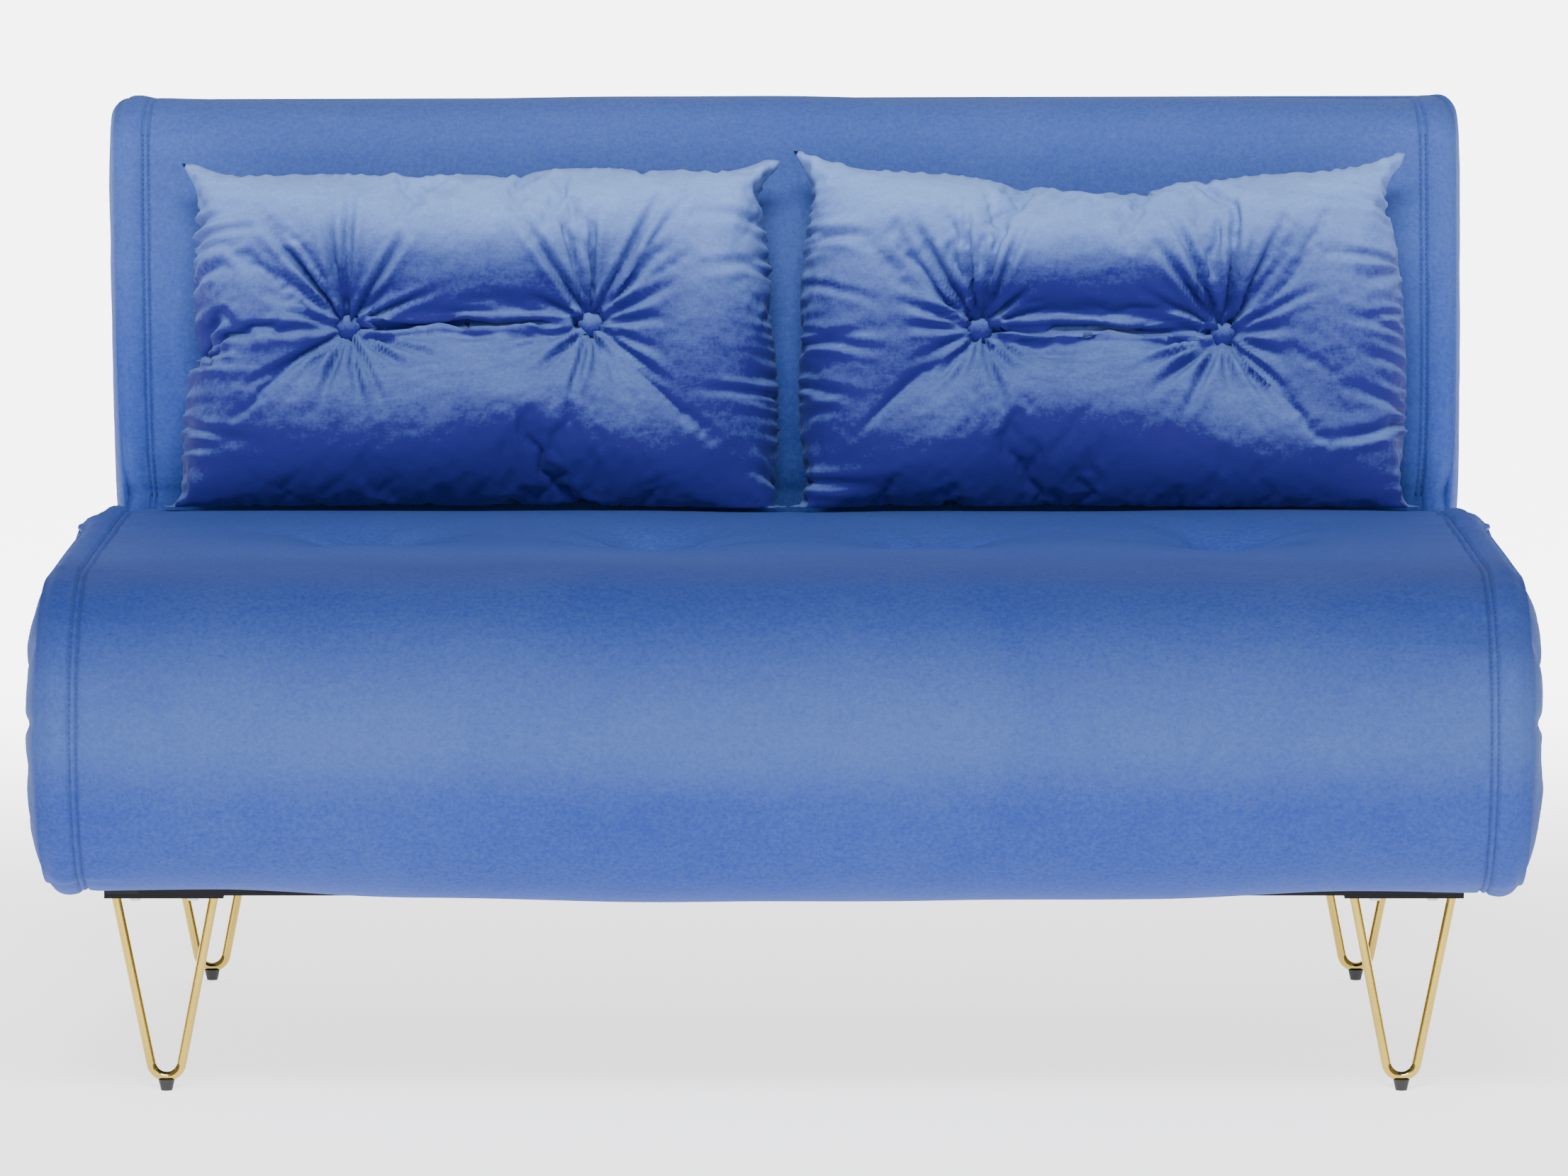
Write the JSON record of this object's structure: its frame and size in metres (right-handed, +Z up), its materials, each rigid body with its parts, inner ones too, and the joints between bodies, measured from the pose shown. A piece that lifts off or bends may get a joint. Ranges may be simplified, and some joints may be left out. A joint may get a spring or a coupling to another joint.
{
  "type": "futon sofa bed",
  "caption": "Blue velvet futon sofa bed: a folded mattress with a rounded front, a reclining back with tufted scatter cushions, and gold hairpin legs.",
  "frame": {"origin": "on the floor, under the middle of the overall width and depth", "axes": "+Z up, +X along the width, and the front of the sofa faces -Y"},
  "size_m": [1.22, 0.8812, 0.803],
  "materials": {
    "velvet": "velvet, deep blue, soft sheen",
    "velvet_cushions": "velvet, deep blue, soft sheen",
    "velvet_buttons": "velvet over a button shell",
    "tuft_cord": "twisted cord",
    "gold_metal": "glossy gold plating",
    "rubber": "matte black",
    "black_plastic": "matte black",
    "slat_wood": "raw laminated",
    "dust_cloth": "black non-woven",
    "zinc_steel": "zinc plated",
    "black_steel": "black powder coat"
  },
  "bodies": {
    "base": {"foot_mattress": "velvet", "front_left_foot": "rubber", "front_left_hairpin": "gold_metal", "front_left_leg_plate": "black_steel", "front_right_foot": "rubber", "front_right_hairpin": "gold_metal", "front_right_leg_plate": "black_steel", "front_roll_mattress": "velvet", "gusset_left": "black_steel", "gusset_right": "black_steel", "hinge_bolt_left": "zinc_steel", "hinge_bolt_right": "zinc_steel", "hinge_plate_left": "black_steel", "hinge_plate_right": "black_steel", "leg_screws": "zinc_steel", "lower_rail_front": "black_steel", "lower_rail_left": "black_steel", "lower_rail_rear": "black_steel", "lower_rail_right": "black_steel", "rail_end_plugs": "black_plastic", "rear_left_foot": "rubber", "rear_left_hairpin": "gold_metal", "rear_left_leg_plate": "black_steel", "rear_post_left": "black_steel", "rear_post_right": "black_steel", "rear_right_foot": "rubber", "rear_right_hairpin": "gold_metal", "rear_right_leg_plate": "black_steel", "seat_mattress": "velvet", "seat_rail_front": "black_steel", "seat_rail_left": "black_steel", "seat_rail_rear": "black_steel", "seat_rail_right": "black_steel", "seat_slats": "slat_wood", "underside_cover": "dust_cloth"},
    "backrest": {"back_mattress": "velvet", "backrest_crossbar_lower": "black_steel", "backrest_crossbar_upper": "black_steel", "backrest_end_plugs": "black_plastic", "backrest_slats": "slat_wood", "backrest_tube_left": "black_steel", "backrest_tube_right": "black_steel", "cushion_buttons_left": "velvet_buttons", "cushion_buttons_right": "velvet_buttons", "cushion_left": "velvet_cushions", "cushion_right": "velvet_cushions", "cushion_tuft_cords_left": "tuft_cord", "cushion_tuft_cords_right": "tuft_cord", "drop_leg_bracket_left": "black_steel", "drop_leg_bracket_right": "black_steel", "drop_leg_pin_left": "zinc_steel", "drop_leg_pin_right": "zinc_steel", "hinge_arm_left": "black_steel", "hinge_arm_right": "black_steel"},
    "drop_leg": {"drop_leg_foot_bar": "black_steel", "drop_leg_tube_left": "black_steel", "drop_leg_tube_right": "black_steel"}
  },
  "joints": [
    {"name": "back_recline", "type": "hinge", "parent": "base", "child": "backrest", "pos_m": [0, 0.30435, 0.323], "axis": [-1, 0, 0], "range_deg": [0, 75]},
    {"name": "drop_leg_swing", "type": "hinge", "parent": "backrest", "child": "drop_leg", "pos_m": [0, 0.42977, 0.69833], "axis": [1, 0, 0], "range_deg": [0, 90]}
  ]
}
